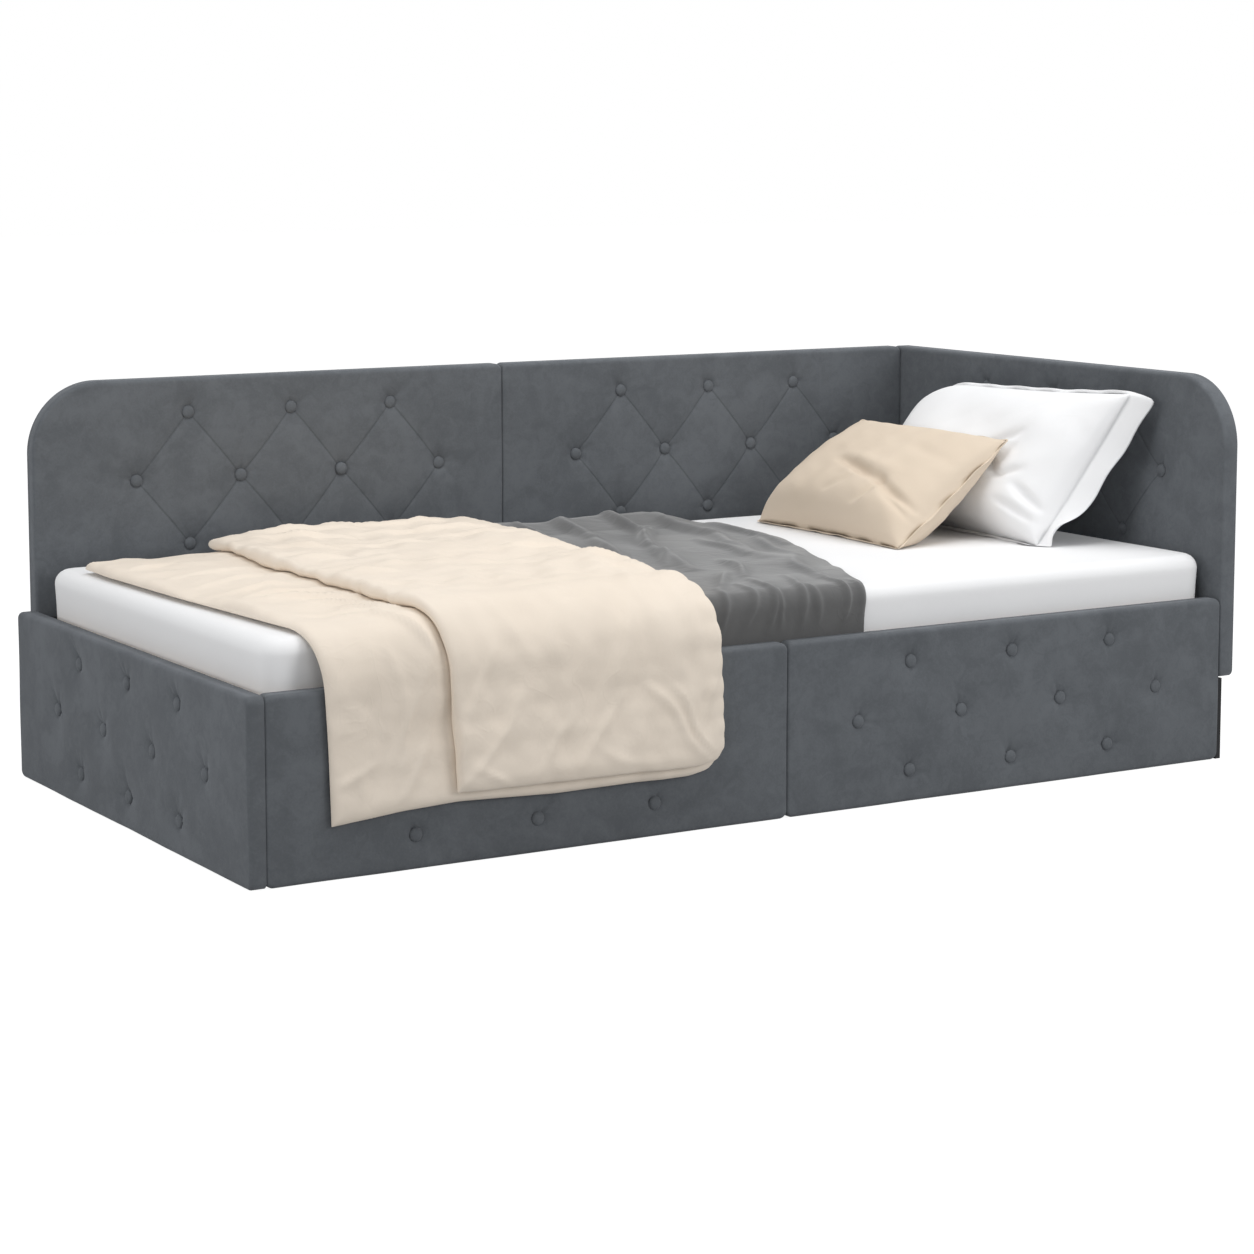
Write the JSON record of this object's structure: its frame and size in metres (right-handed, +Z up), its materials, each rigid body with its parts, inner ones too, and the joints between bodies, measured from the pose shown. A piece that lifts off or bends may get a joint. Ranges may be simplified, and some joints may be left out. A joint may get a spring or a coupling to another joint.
{
  "type": "daybed",
  "caption": "Upholstered daybed with a low tufted box, tall diamond-tufted back and head end, slatted base, mattress, duvet, throw, pillow and cushion.",
  "frame": {"origin": "middle of the object's box, on the floor", "axes": "+X to the head end along the bed, +Y to the back, +Z up"},
  "size_m": [2.074, 1.1254, 0.74],
  "materials": {
    "panel_wood": "sanded plywood",
    "velvet": "slate grey velvet with a soft nap",
    "velvet_buttons": "slate grey velvet over round buttons",
    "lining": "black non-woven lining",
    "lined_board": "board covered in black lining",
    "slat_wood": "pale softwood",
    "black_steel": "black powder coat",
    "zinc_steel": "zinc plated",
    "webbing": "woven ribbon",
    "mattress_cover": "white knitted cover",
    "duvet_cotton": "beige cotton",
    "throw_cloth": "grey soft cloth",
    "pillow_cotton": "white cotton",
    "cushion_cotton": "beige cotton"
  },
  "bodies": {
    "frame": {"footboard_board": "panel_wood", "footboard_cover": "velvet", "footboard_buttons": "velvet_buttons", "front_rail_foot_board": "panel_wood", "front_rail_foot_cover": "velvet", "front_rail_foot_buttons": "velvet_buttons", "front_rail_head_board": "panel_wood", "front_rail_head_cover": "velvet", "front_rail_head_buttons": "velvet_buttons", "backrest_foot_board": "panel_wood", "backrest_foot_cover": "velvet", "backrest_foot_buttons": "velvet_buttons", "backrest_head_board": "panel_wood", "backrest_head_cover": "velvet", "backrest_head_buttons": "velvet_buttons", "headboard_board": "panel_wood", "headboard_cover": "velvet", "headboard_buttons": "velvet_buttons", "backrest_foot_lining": "lining", "backrest_head_lining": "lining", "headboard_lining": "lining", "back_rail_foot": "lined_board", "front_ledge_foot": "slat_wood", "back_ledge_foot": "slat_wood", "centre_beam_foot": "slat_wood", "back_rail_head": "lined_board", "front_ledge_head": "slat_wood", "back_ledge_head": "slat_wood", "centre_beam_head": "slat_wood", "head_rail": "lined_board", "corner_bracket_foot_front": "black_steel", "corner_bracket_foot_back": "black_steel", "corner_bracket_head_front": "black_steel", "corner_bracket_head_back": "black_steel", "joining_plates": "black_steel", "beam_hangers": "black_steel", "frame_bolts": "zinc_steel", "backrest_bolts": "zinc_steel", "centre_leg_1": "slat_wood", "centre_leg_2": "slat_wood", "centre_leg_3": "slat_wood", "slat_01": "slat_wood", "slat_02": "slat_wood", "slat_03": "slat_wood", "slat_04": "slat_wood", "slat_05": "slat_wood", "slat_06": "slat_wood", "slat_07": "slat_wood", "slat_08": "slat_wood", "slat_09": "slat_wood", "slat_10": "slat_wood", "slat_11": "slat_wood", "slat_12": "slat_wood", "slat_webbing": "webbing"},
    "mattress": {"mattress": "mattress_cover", "duvet": "duvet_cotton", "throw": "throw_cloth"},
    "pillow": {"pillow": "pillow_cotton"},
    "cushion": {"cushion": "cushion_cotton"}
  },
  "joints": [
    {"name": "mattress_lift", "type": "slide", "parent": "frame", "child": "mattress", "axis": [0, 0, 1], "range_m": [0, 0.6]},
    {"name": "pillow_lift", "type": "slide", "parent": "mattress", "child": "pillow", "axis": [0, 0, 1], "range_m": [0, 0.4]},
    {"name": "cushion_lift", "type": "slide", "parent": "pillow", "child": "cushion", "axis": [0, 0, 1], "range_m": [0, 0.35]}
  ]
}
